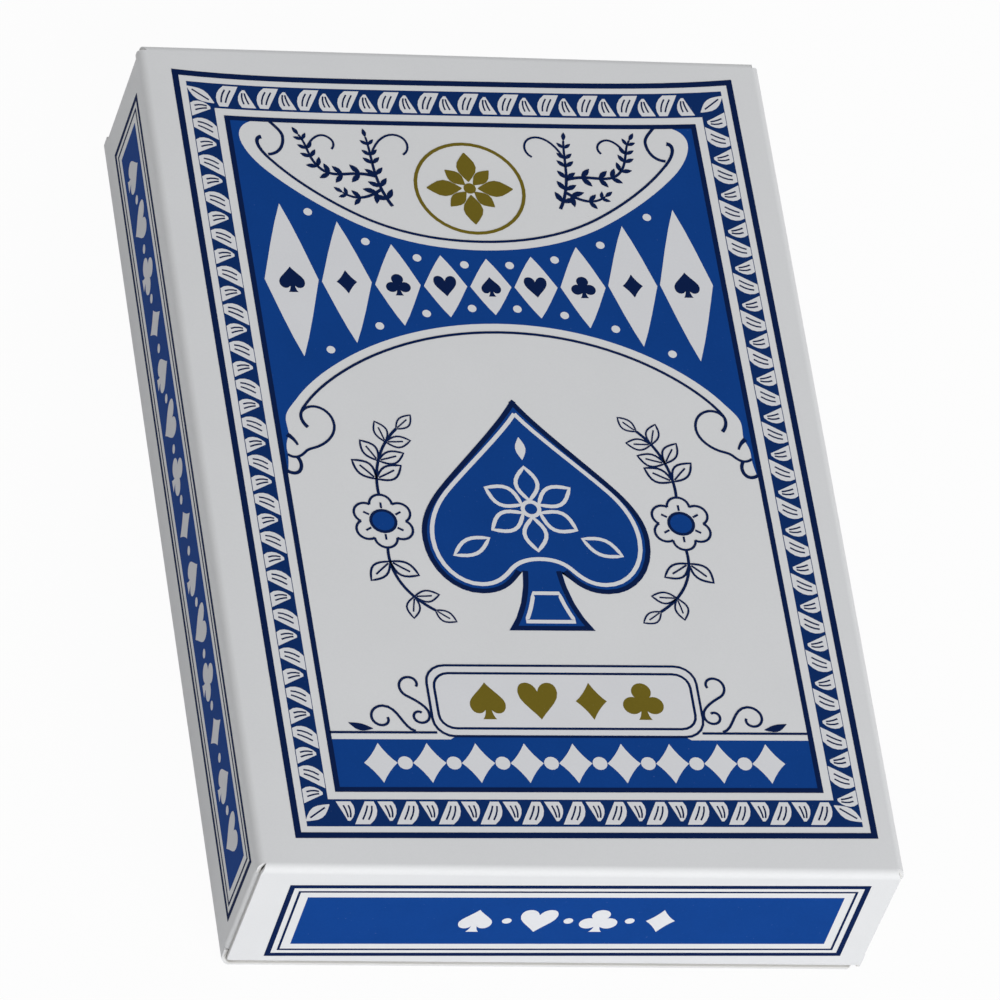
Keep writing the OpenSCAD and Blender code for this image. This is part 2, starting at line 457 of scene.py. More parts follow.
def make_closure(end, way):
    """One end of the carton: lid, tuck flap, dust flaps and the bends that join them to each other and
    to the sleeve."""
    share = np.linspace(0, 1, FLAT_STEPS + 1)
    column, row = share[:, None], 2 * share[None, :] - 1
    lid_bend = (HALF_L - FOLD_R, DEPTH - FOLD_R)
    tuck_bend = (HALF_L - FOLD_R, lid_low.z + FOLD_R)
    fold_half = front_high.x
    lid_half, tuck_half = lid_high.x, tuck_high.x

    def across(y, z, x):
        """Points of this end from their place along the box, their height and their place across."""
        return np.stack([x, way * y, z], axis=2)

    # Lid panel, hanging straight down between its two bends
    lid_z = tuck_bend[1] + (lid_bend[1] - tuck_bend[1]) * column + 0 * row
    lid_x = lid_half * row + 0 * column
    lid = board_piece(f"{end}_lid_panel",
                      across(0 * lid_z + HALF_L - PRINT_RELIEF, lid_z, lid_x),
                      across(0 * lid_z + HALF_L - BOARD, lid_z, lid_x))
    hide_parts(f"{end}_end_panel")
    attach(lid, f"{end}_lid")
    lid_fold = bend_strip(f"{end}_lid_bend", lid_bend, FOLD_R, 90, 0,
                          ((-fold_half, -lid_half), (fold_half, lid_half)), across)
    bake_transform(lid_fold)

    # Tuck flap, sloping up from its bend, with round corners at its tip
    reach = (tuck_bend[0] - tuck_low.y) / math.cos(TUCK_TILT)
    run = reach * np.sin(column * math.pi / 2)
    near_tip = np.clip(run - (reach - TUCK_CORNER), 0, TUCK_CORNER)
    half = tuck_half - TUCK_CORNER + np.sqrt(TUCK_CORNER ** 2 - near_tip ** 2)
    tuck_x = half * row

    def sloping(depth):
        """The tuck flap's face at a depth below the middle of its bend."""
        y = tuck_bend[0] - run * math.cos(TUCK_TILT) - depth * math.sin(TUCK_TILT) + 0 * row
        z = tuck_bend[1] + run * math.sin(TUCK_TILT) - depth * math.cos(TUCK_TILT) + 0 * row
        return across(y, z, tuck_x)

    tuck = board_piece(f"{end}_tuck_board", sloping(SKIN_R), sloping(INNER_R))
    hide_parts(f"{end}_tuck_flap")
    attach(tuck, f"{end}_tuck")
    tuck_fold = bend_strip(f"{end}_tuck_bend", tuck_bend, FOLD_R, 0, -90 - math.degrees(TUCK_TILT),
                           ((-lid_half, -tuck_half), (lid_half, tuck_half)), across)
    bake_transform(tuck_fold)

    # Dust flaps, folding in from the sides behind the lid and narrowing to rounded tips
    for side, hand in (("left", -1), ("right", 1)):
        def beside(x, y, z):
            """Points of this side's dust flap, mirrored to its hand and its end."""
            return np.stack([hand * x, way * y, z], axis=2)

        dust_bend = (HALF_W - DUST_R, dust_high.y - DUST_R)
        dust_run = dust_bend[0] - dust_low.x
        inward = dust_run * np.sin(column * math.pi / 2)
        tip = np.clip(inward - (dust_run - DUST_CORNER), 0, DUST_CORNER)
        cut = DUST_CORNER - np.sqrt(DUST_CORNER ** 2 - tip ** 2)
        base = dust_low.z + inward * DUST_LOWER_SLOPE + cut
        head = dust_high.z - inward * DUST_UPPER_SLOPE - cut
        z = base + (head - base) * (row + 1) / 2
        x = dust_bend[0] - inward + 0 * row
        dust = board_piece(f"{end}_{side}_dust_board",
                           beside(x, 0 * x + dust_high.y - PRINT_RELIEF, z),
                           beside(x, 0 * x + dust_high.y - BOARD, z))
        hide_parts(f"{end}_{side}_dust_flap")
        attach(dust, f"{end}_{side}_dust")
        height = (dust_low.z, dust_low.z), (dust_high.z, dust_high.z)
        dust_fold = bend_strip(f"{end}_{side}_dust_bend", dust_bend, DUST_R, 0, 90, height, beside)
        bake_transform(dust_fold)


sleeve = make_sleeve()
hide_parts("front_panel", "back_panel", "left_side_panel", "right_side_panel", "glue_flap")
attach(sleeve, "carton")
for end, way in (("top", 1), ("bottom", -1)):
    make_closure(end, way)


# Shapes of printed ink, drawn flat in millimetres

def bezier(points, steps=6):
    """A smooth line through every third point, shaped by the two control points between them."""
    p = np.array(points, dtype=float)
    t = np.linspace(0, 1, steps + 1)[:, None]
    weights = ((1 - t) ** 3, 3 * t * (1 - t) ** 2, 3 * t ** 2 * (1 - t), t ** 3)
    arcs = [sum(w * p[k + i] for i, w in enumerate(weights)) for k in range(0, len(p) - 1, 3)]
    return np.vstack([arcs[0]] + [a[1:] for a in arcs[1:]])


def sideways(line):
    """The direction to the left of a line at each of its points, square to it; a closed line's first and
    last points look to both their neighbours."""
    if np.allclose(line[0], line[-1]):
        wrapped = np.vstack([line[-2], line, line[1]])
        direction = wrapped[2:] - wrapped[:-2]
    else:
        direction = np.gradient(line, axis=0)
    direction /= np.linalg.norm(direction, axis=1, keepdims=True)
    return np.stack([-direction[:, 1], direction[:, 0]], axis=1)


def beside_line(line, distance):
    """A line offset to the left of its own direction, by one distance or by one for each point."""
    return line + sideways(line) * np.broadcast_to(distance, len(line))[:, None]


def stroke(line, width):
    """A line of ink: the line offset to both sides by half its width there."""
    line = np.array(line, dtype=float)
    half = np.broadcast_to(width, len(line)) / 2
    return np.stack([beside_line(line, half), beside_line(line, -half)], axis=1)


def box_line(half_w, half_h, width, height, steps=1):
    """A square-cornered frame line, from an outer rectangle in to a smaller one, each side in even steps.
    Its width is measured across the upright sides and its height across the level ones."""
    signs = np.array([(1, 1), (-1, 1), (-1, -1), (1, -1), (1, 1)])
    share = np.linspace(0, 1, steps + 1)[:-1, None]
    outer = signs * (half_w, half_h)
    lines = []
    for corners in (outer, outer - signs * (width, height)):
        sides = corners[:-1, None] + np.diff(corners, axis=0)[:, None] * share
        lines.append(np.vstack([sides.reshape(-1, 2), corners[:1]]))
    return np.stack(lines, axis=1)


def round_box(half_w, half_h, radius, steps=6):
    """The closed outline of a rectangle with round corners."""
    quarter = np.linspace(0, math.pi / 2, steps)
    parts = []
    for k, (sx, sy) in enumerate(((1, 1), (-1, 1), (-1, -1), (1, -1))):
        angle = quarter + k * math.pi / 2
        centre = (sx * (half_w - radius), sy * (half_h - radius))
        parts.append(np.stack([np.cos(angle), np.sin(angle)], axis=1) * radius + centre)
    line = np.vstack(parts)
    return np.vstack([line, line[:1]])


def circle(radius, steps=40):
    """A closed circle."""
    angle = np.linspace(0, 2 * math.pi, steps + 1)
    line = np.stack([np.cos(angle), np.sin(angle)], axis=1) * radius
    line[-1] = line[0]
    return line


def disc(radius, steps=6):
    """A filled disc: a square grid pressed out to a circle."""
    u, v = np.meshgrid(*[np.linspace(-1, 1, steps + 1)] * 2, indexing="ij")
    return np.stack([u * np.sqrt(1 - v * v / 2), v * np.sqrt(1 - u * u / 2)], axis=2) * radius


def between(line_a, line_b, steps=1):
    """The area between two lines that have as many points."""
    share = np.linspace(0, 1, steps + 1)[None, :, None]
    return np.array(line_a)[:, None] * (1 - share) + np.array(line_b)[:, None] * share


def plain_field(half_w, low, high):
    """A filled rectangle about the y axis, between two heights."""
    return between([(-half_w, low), (half_w, low)], [(-half_w, high), (half_w, high)])


def leaf(length, width, steps=6, bend=0.0, tip=0.06):
    """A pointed leaf from the origin along x: its half width swells as a sine, but not below a blunt tip's
    share, and its spine may bend sideways."""
    t = np.linspace(0, 1, steps + 1)
    half = width / 2 * np.maximum(np.sin(math.pi * t), tip)
    spine = bend * np.sin(math.pi * t)
    return np.stack([np.stack([t * length, spine + s * half], axis=1) for s in (1, 0, -1)], axis=1)


def leaf_edge(length, width, line, bend=0.0):
    """The outline of a pointed leaf as a thin line of ink."""
    rows = leaf(length, width, 8, bend, tip=0)
    return stroke(np.vstack([rows[:, 0], rows[-2::-1, 2]]), line)


def spiral(start_r, end_r, start, end, steps=20):
    """A scroll line whose radius changes evenly as its angle turns, in degrees."""
    share = np.linspace(0, 1, steps + 1)
    angle = np.radians(start + (end - start) * share)
    radius = start_r + (end_r - start_r) * share
    return np.stack([np.cos(angle) * radius, np.sin(angle) * radius], axis=1)


def heading(line, i):
    """The direction in degrees of a line's step from one point to the next."""
    step = line[i + 1] - line[i]
    return math.degrees(math.atan2(step[1], step[0]))


def filled_half(outline, axis_end, steps=2):
    """A shape that is alike on both sides of the y axis: the area from its right outline to the mirrored one,
    by way of points that run evenly down the axis."""
    right = np.array(outline, dtype=float)
    axis = np.linspace(right[0] * (0, 1), np.array((0, axis_end)), len(right))
    inner = between(right, axis, steps)
    mirrored = inner[:, -2::-1] * (-1, 1)
    return np.concatenate([inner, mirrored], axis=1)


def placed(shapes, at=(0, 0), size=1.0, turn=0.0):
    """Shapes scaled, turned by an angle in degrees and moved."""
    c, s = math.cos(math.radians(turn)), math.sin(math.radians(turn))
    return [(shape * size) @ np.array(((c, s), (-s, c))) + at for shape in shapes]


def both_sides(shapes):
    """Shapes and their mirror images across the y axis."""
    return list(shapes) + [shape * (-1, 1) for shape in shapes]


# Suit marks, one unit tall about the origin

SPADE_OUTLINE = ((0.002, 0.5), (0.07, 0.39), (0.25, 0.21), (0.335, 0.105), (0.39, 0.035), (0.424, -0.03),
                 (0.424, -0.11), (0.424, -0.24), (0.34, -0.342), (0.235, -0.342), (0.17, -0.342),
                 (0.12, -0.315), (0.08, -0.25))
HEART_OUTLINE = ((0.002, 0.26), (0.05, 0.44), (0.17, 0.5), (0.26, 0.5), (0.42, 0.5), (0.47, 0.37),
                 (0.47, 0.22), (0.47, -0.02), (0.17, -0.24), (0.002, -0.5))
DIAMOND_OUTLINE = ((0.002, 0.5), (0.1, 0.3), (0.25, 0.1), (0.37, 0.0), (0.25, -0.1), (0.1, -0.3),
                   (0.002, -0.5))
LOZENGE_OUTLINE = ((0.002, 0.5), (0.14, 0.38), (0.28, 0.24), (0.5, 0), (0.28, -0.24), (0.14, -0.38),
                   (0.002, -0.5))
STEM_OUTLINE = ((0.07, -0.12), (0.06, -0.3), (0.1, -0.42), (0.16, -0.5))
SPADE_NOTCH = -0.2
MARK_FOOT = -0.498
SUIT_ORDER = ("spade", "heart", "club", "diamond")


def stem():
    """The flared foot of a spade or club."""
    right = bezier(STEM_OUTLINE, 5)
    return between(right * (-1, 1), right, 2)


def suit_marks():
    """The four suit marks, each a list of filled shapes."""
    club_leaf = disc(0.235)
    return {
        "spade": [filled_half(bezier(SPADE_OUTLINE, 5), SPADE_NOTCH), stem()],
        "heart": [filled_half(bezier(HEART_OUTLINE, 5), MARK_FOOT)],
        "club": [club_leaf + (0, 0.265), *both_sides([club_leaf + (0.25, -0.11)]), disc(0.12), stem()],
        "diamond": [filled_half(bezier(DIAMOND_OUTLINE, 4), MARK_FOOT)],
    }


marks = suit_marks()


# Print on the carton, in millimetres from the middle of each panel's print

FRAME_HALF_W = 27.53
FRAME_HALF_H = 42.73
LINE_W = 0.6
LINE_TO_BAND = 1.25
BAND_W = 2.35
BAND_H = 2.9
BAND_TO_INNER = 0.8
INNER_LINE_W = 0.5
FIELD_HALF_W = FRAME_HALF_W - LINE_TO_BAND - BAND_W - BAND_TO_INNER - INNER_LINE_W
FIELD_HALF_H = FRAME_HALF_H - LINE_TO_BAND - BAND_H - BAND_TO_INNER - INNER_LINE_W
SLANTED_LEAF = (((-0.225, -1), (-0.33, -0.35), (-0.28, 0.45), (-0.06, 1)),
                ((-0.015, -1), (0.07, -0.45), (0.2, 0.3), (0.3, 1)))
CORNERED_LEAF = (((-0.17, -1), (-0.3, -0.5), (-0.24, 0.3), (-0.1, 0.7)),
                 ((0.18, -1), (0.1, -0.4), (0.02, 0.2), (-0.04, 0.7)))
CORNER_LEAF_L = 3.0
CORNER_LEAF_W = 1.3
CORNER_LEAF_TURN = 36
VEIN_W = 0.16
SIDE_STEPS = 24
ACROSS_RUN = {"count": 24, "step": 1.96, "half_h": BAND_H * 0.42, "kinds": (SLANTED_LEAF, CORNERED_LEAF)}
ALONG_RUN = {"count": 37, "step": 2.125, "half_h": BAND_W * 0.47, "kinds": (CORNERED_LEAF, SLANTED_LEAF)}
THIN_LINE = 0.26
PALE_LINE = 1.0
UNDER_LINE = 0.1


def add(art, ink, *groups):
    """Puts shapes into a print under their ink."""
    for shapes in groups:
        art.setdefault(ink, []).extend(shapes)


def chain_leaves(count, step, half_h, kinds):
    """A run of chain ornament along x: two kinds of leaf by turns, each with two thin veins.
    A leaf is the area between two curves, drawn in shares of two steps across and of its half height
    upwards."""
    pale, navy = [], []
    for k in range(count):
        at = ((k - (count - 1) / 2) * step, 0)
        edges = [bezier(line, 5) * (2 * step, half_h) for line in kinds[k % 2]]
        ribs = between(*edges, 3)[1:-1]
        pale += placed([between(*edges, 2)], at)
        navy += placed([stroke(ribs[:, 1], VEIN_W), stroke(ribs[:, 2], VEIN_W)], at)
    return pale, navy


def chain_border(art):
    """The frame of ruled lines and chain band that edges the front and the back."""
    add(art, "navy", [box_line(FRAME_HALF_W, FRAME_HALF_H, LINE_W, LINE_W, SIDE_STEPS)])
    band_w, band_h = FRAME_HALF_W - LINE_TO_BAND, FRAME_HALF_H - LINE_TO_BAND
    add(art, "deep", [box_line(band_w, band_h, BAND_W, BAND_H, SIDE_STEPS)])
    inner_w, inner_h = FIELD_HALF_W + INNER_LINE_W, FIELD_HALF_H + INNER_LINE_W
    add(art, "navy", [box_line(inner_w, inner_h, INNER_LINE_W, INNER_LINE_W, SIDE_STEPS)])
    middle_w, middle_h = band_w - BAND_W / 2, band_h - BAND_H / 2
    corner = leaf(CORNER_LEAF_L, CORNER_LEAF_W) - (CORNER_LEAF_L / 2, 0)
    vein_end = CORNER_LEAF_L * 0.31
    corner_vein = stroke(np.linspace((-vein_end, 0), (vein_end, 0), 5), VEIN_W)
    for sx, sy in ((1, 1), (-1, 1), (-1, -1), (1, -1)):
        for ink, shape in (("pale", corner), ("navy", corner_vein)):
            add(art, ink, placed([shape], (sx * middle_w, sy * middle_h), 1.0, CORNER_LEAF_TURN * sx * sy))
    for turn, run, off in ((0, ACROSS_RUN, middle_h), (90, ALONG_RUN, middle_w)):
        pale, navy = chain_leaves(**run)
        for flip in (0, 180):
            for ink, shapes in (("pale", pale), ("navy", navy)):
                add(art, ink, placed(placed(shapes, (0, off), 1.0, 2 * turn), (0, 0), 1.0, turn + flip))


# Right halves of the swag's lower edge and the arch's upper edge, from the middle outwards to their ends
SWAG_EDGE = ((0, 22.7), (4.5, 22.7), (8.5, 23.65), (12, 25.6), (15.0, 27.3), (18.0, 29.6), (20.1, 31.8))
SWAG_LOBE = ((20.1, 31.8), (21.1, 32.9), (21.98, 34.3), (21.98, 35.5), (21.98, 36.4), (21.3, 37.4),
             (19.6, 37.5))
SWAG_CURL = ((18.9, 37.45), (18.3, 36.75), (17.77, 36.2), (17.77, 35.6), (17.77, 34.6), (18.3, 33.55),
             (19.45, 33.45))
ARCH_EDGE = ((0, 14.22), (5.2, 14.22), (9.8, 12.95), (13.6, 10.98), (16.6, 9.4), (19.2, 7.35), (20.7, 5.3))
ARCH_TAIL = ((20.7, 5.3), (21.6, 4.2), (22.0, 3.7), (22.0, 2.9), (22.0, 2.2), (21.85, 1.6), (22.0, 1.2),
             (22.2, 0.7), (22.4, 0.2), (22.35, -0.4), (22.3, -1.0), (22.35, -1.6), (22.6, -2.9))

# The band's lozenges, from the middle outwards: place, width and suit mark
TITLE_ROW = ((0, 4.0, "spade"), (4.4, 4.2, "heart"), (9.0, 4.4, "club"), (13.9, 4.8, "diamond"),
             (19.2, 5.2, "spade"))
TITLE_GAP = 1.0
TITLE_TALLEST = 17.5
TITLE_MARK = 0.56
TITLE_BEAD_R = 0.42
TITLE_BEAD_GAP = 0.8
FILL_OVERLAP = 0.05


def whole_line(right_half):
    """A line from left to right, alike on both sides, from its right half."""
    return np.vstack([right_half[:0:-1] * (-1, 1), right_half])


swag, arch = bezier(SWAG_EDGE, 12), bezier(ARCH_EDGE, 12)
lobe, tail = bezier(SWAG_LOBE, 8), bezier(ARCH_TAIL, 8)
swag_line = beside_line(swag, PALE_LINE + 0.3 * np.linspace(0, 1, len(swag)) ** 4)
swag_hook = bezier([swag_line[-1], swag_line[-1] + (0.4, 0.42), (20.3, 34.1), (20.33, 34.8), (20.35, 35.2),
                    (20.2, 35.45), (19.85, 35.5)], 8)
arch_line = beside_line(arch, -PALE_LINE)


def title_band(art):
    """The waisted blue band between the swag and the arch, with a row of pale lozenges that follow its
    height and bear suit marks."""
    add(art, "blue", [between(whole_line(arch), whole_line(swag), 4)])
    overlap = np.linspace(arch[-1], swag[-1], 6) - (FILL_OVERLAP, 0)
    edge = np.vstack([tail[::-1], overlap[1:-1], lobe])
    frame_edge = np.stack([0 * edge[:, 0] + FIELD_HALF_W + UNDER_LINE, edge[:, 1]], axis=1)
    add(art, "blue", both_sides([between(edge, frame_edge, 2)]))
    add(art, "navy", [stroke(whole_line(swag_line), THIN_LINE), stroke(whole_line(arch_line), THIN_LINE)])
    lozenge = filled_half(LOZENGE_OUTLINE, MARK_FOOT)

    def room(at):
        """The lowest and highest y left between the arch and the swag at a place."""
        base, top = (np.interp(at, line[:, 0], line[:, 1]) for line in (arch, swag))
        return base + TITLE_GAP, top - TITLE_GAP

    for k, (at, wide, name) in enumerate(TITLE_ROW):
        base, top = room(at)
        spot, tall = (at, (base + top) / 2), min(top - base, TITLE_TALLEST)
        pale, navy = [lozenge * (wide, tall) + spot], placed(marks[name], spot, wide * TITLE_MARK)
        add(art, "pale", both_sides(pale) if at else pale)
        add(art, "navy", both_sides(navy) if at else navy)
        if k > 0:
            aside = (at + TITLE_ROW[k - 1][0]) / 2
            low, high = room(aside)
            heights = (low + TITLE_BEAD_GAP, high - TITLE_BEAD_GAP)
            add(art, "pale", both_sides([disc(TITLE_BEAD_R, 4) + (aside, y) for y in heights]))


def swag_ornaments(art):
    """The ring and rosette in the middle of the swag, leafy vines beside it and scrolls at its ends."""
    centre = (-0.35, 29.95)
    add(art, "gold", placed([stroke(circle(radius=5.25), width=0.34)], centre))
    petal = leaf(length=3.4, width=1.9)
    for k in range(8):
        long = 1.0 if k % 2 == 0 else 0.72
        add(art, "gold", placed(placed([petal], (0.8, 0)), centre, long, 45 * k + 90))
    add(art, "gold", placed([disc(radius=0.6)], centre))
    add(art, "navy", both_sides([stroke(swag_hook, np.linspace(THIN_LINE, 0.42, len(swag_hook))),
                                 stroke(bezier(SWAG_CURL, 10), 0.3)]))
    stem_line = [(8.2, 27.7), (9.8, 30.8), (9.3, 33.4), (9.7, 35.8)]
    branch_line = [(9.4, 31.2), (11.8, 32.0), (13.5, 30.5), (14.8, 32.2), (15.7, 33.4), (15.5, 34.8),
                   (16.2, 35.9)]
    low_line = [(9.1, 29.6), (10.6, 28.4), (11.8, 28.4), (12.8, 29.2)]
    for line, pairs in ((stem_line, 6), (branch_line, 7), (low_line, 3)):
        add(art, "navy", both_sides(sprig(line, pairs, length=1.45, width=0.62)))
    tendrils = ([(9.4, 33.8), (8.7, 35.6), (7.6, 36.4), (6.6, 36.1), (5.6, 35.8), (5.4, 34.4), (6.3, 33.8)],
                [(15.6, 34.4), (15.0, 35.6), (14.2, 36.2), (13.5, 35.8), (12.8, 35.4), (12.8, 34.7),
                 (13.2, 34.3)])
    add(art, "navy", both_sides([stroke(bezier(line, 8), 0.22) for line in tendrils]))


def sprig(spine, pairs, length, width):
    """A leafy sprig: a thin stem along a smooth line, with pairs of leaves that grow smaller towards
    its tip."""
    line = bezier(spine, 24)
    shapes = [stroke(line, np.linspace(0.34, 0.2, len(line)))]
    for share in np.linspace(0.12, 0.94, pairs):
        i = int(share * (len(line) - 2))
        for lean in (48, -48):
            shapes += placed([leaf(length, width, 4)], line[i], 1.0 - 0.4 * share, heading(line, i) + lean)
    shapes += placed([leaf(length, width, 4)], line[-1], 0.7, heading(line, -2))
    return shapes


def arch_scrolls(art):
    """Scrolls where the arch meets the frame: the arch line ends in a hook, a curl leaves it and winds
    down to the frame, and two small loops close the end of the pale strip."""
    hook = bezier([arch_line[-1], arch_line[-1] + (0.35, -0.42), (20.55, 3.7), (20.5, 3.3), (20.47, 2.9),
                   (20.3, 2.5), (20.0, 2.2)], 6)
    curl = bezier([(20.28, 4.0), (20.0, 4.45), (19.4, 4.6), (18.9, 4.5), (18.0, 4.3), (17.4, 3.4),
                   (17.45, 2.4), (17.5, 1.4), (18.3, 0.5), (19.3, 0.05), (19.8, -0.15), (20.2, -0.2),
                   (20.5, -0.45), (20.8, -0.75), (21.1, -1.1), (21.6, -1.15), (21.9, -1.15), (22.15, -1.05),
                   (22.35, -0.85)], 7)
    hook_w = np.linspace(THIN_LINE, 0.36, len(hook))
    add(art, "navy", both_sides([stroke(hook, hook_w), stroke(curl, THIN_LINE)]))
    tip = bezier([(22.1, 1.35), (21.85, 1.15), (21.5, 0.9), (21.25, 0.2)], 6)
    loop = bezier([(21.5, -1.1), (21.15, -1.6), (21.1, -2.3), (21.5, -2.75), (21.8, -3.05), (22.3, -3.0),
                   (22.65, -2.7)], 6)
    add(art, "navy", both_sides([stroke(tip, np.linspace(0.5, 0.22, len(tip))), stroke(loop, 0.34)]))


SPADE_TALL = 25.7
SPADE_TIP_Y = 5.54
SPADE_EDGE = 0.019
SPADE_INLINE = ((0.0, 0.438), (0.06, 0.35), (0.225, 0.19), (0.305, 0.095), (0.355, 0.035), (0.386, -0.035),
                (0.386, -0.11), (0.386, -0.22), (0.315, -0.303), (0.232, -0.303), (0.175, -0.303),
                (0.145, -0.275), (0.11, -0.235), (0.08, -0.203), (0.04, -0.193), (0.0, -0.193))


def ace_figure(art):
    """The large spade with a dark edge, a pale inline and a pale flower inside it, between two blossoms
    on leafy stems."""
    centre = (0.05, SPADE_TIP_Y - SPADE_TALL / 2)
    add(art, "blue", placed(marks["spade"], centre, SPADE_TALL))
    rim = stroke(beside_line(bezier(SPADE_OUTLINE, 8), -SPADE_EDGE / 2), SPADE_EDGE)
    foot = bezier(STEM_OUTLINE, 24)
    foot = foot[foot[:, 1] < -0.235]
    foot_rim = stroke(beside_line(foot[foot[:, 1] > -0.486], -SPADE_EDGE / 2), SPADE_EDGE)
    sole = between([(-0.16, -0.5), (0.16, -0.5)], [(-0.146, -0.5 + SPADE_EDGE), (0.146, -0.5 + SPADE_EDGE)])
    add(art, "navy", placed([*both_sides([rim, foot_rim]), sole], centre, SPADE_TALL))
    inline = stroke(bezier(SPADE_INLINE, 8), 0.016)
    stem_side = beside_line(foot, -0.038)
    stem_side = stem_side[(stem_side[:, 1] < -0.33) & (stem_side[:, 1] > -0.468)]
    stem_loop = np.vstack([stem_side, stem_side[::-1] * (-1, 1), stem_side[:1]])
    add(art, "pale", placed([*both_sides([inline]), stroke(stem_loop, 0.015)], centre, SPADE_TALL))
    flower = (0.05, -6.7)
    petal = leaf_edge(length=3.7, width=2.1, line=0.38) + (0.95, 0)
    for k in range(6):
        add(art, "pale", placed([petal], flower, 1.0, 60 * k + 90))
    add(art, "pale", placed([stroke(circle(0.8, 18), 0.4)], flower))
    add(art, "pale", placed([leaf(length=2.5, width=1.0)], (0.05, -1.2), 1.0, 90))
    side_leaf = leaf_edge(length=4.0, width=1.7, line=0.36)
    add(art, "pale", both_sides(placed([side_leaf], (4.5, -10.0), 1.0, -28)))
    blossom(art, (14.3, -8.2))
    leafy_stem(art, [(14.3, -11.1), (14.6, -13.6), (13.6, -16.2), (10.8, -18.0)], pairs=2)
    leafy_stem(art, [(14.3, -5.3), (14.5, -2.4), (13.4, 0.4), (11.6, 2.1)], pairs=3)


def blossom(art, at):
    """A round flower: six petal arcs that meet, short rays and a dark-ringed blue heart."""
    petal_r, heart_r = 1.08, 1.2
    petal = stroke(spiral(petal_r, petal_r, -90, 90, 12), width=0.24) + (1.85, 0)
    ray = stroke([(1.45, 0), (1.75, 0), (2.05, 0)], width=0.2)
    for k in range(6):
        add(art, "navy", both_sides(placed([petal, ray], at, 1.0, 60 * k + 30)))
    add(art, "blue", both_sides([disc(heart_r) + at]))
    add(art, "navy", both_sides([stroke(circle(heart_r, 20) + at, width=0.28)]))


def leafy_stem(art, spine, pairs):
    """A stem with pairs of outlined leaves, a leaf at its tip."""
    line = bezier(spine, 24)
    add(art, "navy", both_sides([stroke(line, 0.28)]))
    vein = stroke([(0.3, 0), (1.3, 0.06), (2.1, 0.08)], width=0.18)
    drawn = [leaf_edge(length=3.0, width=1.55, line=0.22, bend=0.1), vein]
    for share in np.linspace(0.22, 0.82, pairs):
        i = int(share * (len(line) - 2))
        for lean in (52, -52):
            add(art, "navy", both_sides(placed(drawn, line[i], 1.05 - 0.3 * share, heading(line, i) + lean)))
    add(art, "navy", both_sides(placed(drawn, line[-1], 0.75, heading(line, -2))))


def round_plate(half_w, half_h, radius):
    """A filled rectangle with round corners: its height at each x falls along a circle near the ends."""
    x = half_w * np.sin(np.linspace(-math.pi / 2, math.pi / 2, 25))
    past = np.clip(np.abs(x) - (half_w - radius), 0, radius)
    y = half_h - radius + np.sqrt(radius ** 2 - past ** 2)
    return between(np.stack([x, -y], axis=1), np.stack([x, y], axis=1), 2)


def plaque(art):
    """The plaque with a double outline, a row of small ochre suit marks and scrolls at its sides."""
    centre = (0.03, -27.9)
    edge, inset = (12.85, 3.85, 1.9), (12.2, 3.0, 1.5)
    add(art, "pale", placed([round_plate(*edge)], centre))
    add(art, "navy", placed([stroke(round_box(*edge), 0.24), stroke(round_box(*inset), THIN_LINE)], centre))
    for name, x in zip(("spade", "heart", "diamond", "club"), (-7.4, -2.5, 2.5, 7.4)):
        add(art, "gold", placed(marks[name], (centre[0] + x, centre[1]), 4.0))
    curl = spiral(0.5, 1.3, 200, -60) + (14.35, -26.2)
    small = spiral(0.92, 0.4, 170, 480) + (13.95, -29.55)
    neck = bezier([curl[-1], curl[-1] + (-0.6, -0.35), small[0] + (-0.1, 0.8), small[0]], 6)
    crest = spiral(1.35, 0.45, 97, -190) + (17.5, -29.8)
    wave = bezier([(14.6, -31.2), (15.8, -30.9), crest[0] - (1.5, 0.1), crest[0]], 8)
    tip = placed([leaf(2.3, 0.75, 6, -0.15)], (18.6, -30.95), 1.0, 16)
    add(art, "navy", both_sides([stroke(np.vstack([curl, neck[1:], small[1:]]), 0.25)]))
    add(art, "navy", both_sides([stroke(np.vstack([wave, crest[1:]]), 0.25), *tip]))


def foot_band(art):
    """The blue band at the foot, under a thin rule, with a row of pale lozenges and beads."""
    rule_y, rule_start, rule_half = -31.35, 12.6, 0.12
    top, base, half = -32.1, -FIELD_HALF_H - UNDER_LINE, FIELD_HALF_W + UNDER_LINE
    rule = [[(rule_start, y), (half, y)] for y in (rule_y + rule_half, rule_y - rule_half)]
    add(art, "navy", both_sides([between(*rule)]))
    add(art, "blue", [plain_field(half, base, top)])
    sole, sole_half, sole_flare = -31.75, 10.9, 11.6
    add(art, "blue", [between([(-sole_flare, top - UNDER_LINE), (sole_flare, top - UNDER_LINE)],
                              [(-sole_half, sole), (sole_half, sole)])])
    middle, pitch = -34.65, 4.6
    for k in range(-4, 5):
        add(art, "pale", placed(marks["diamond"], (k * pitch, middle), 4.25))
        if k < 4:
            add(art, "pale", placed([disc(0.7, 4)], ((k + 0.5) * pitch, middle)))


def front_art():
    """The front panel's print: border, swag with a rosette, title band, arch, spade, plaque and foot band."""
    art = {}
    chain_border(art)
    title_band(art)
    swag_ornaments(art)
    arch_scrolls(art)
    ace_figure(art)
    plaque(art)
    foot_band(art)
    return art


def mark_row(count, pitch, size):
    """A row of the suit marks by turns, evenly spaced about the middle."""
    return [(SUIT_ORDER[k % 4], pitch * (k - (count - 1) / 2), size) for k in range(count)]


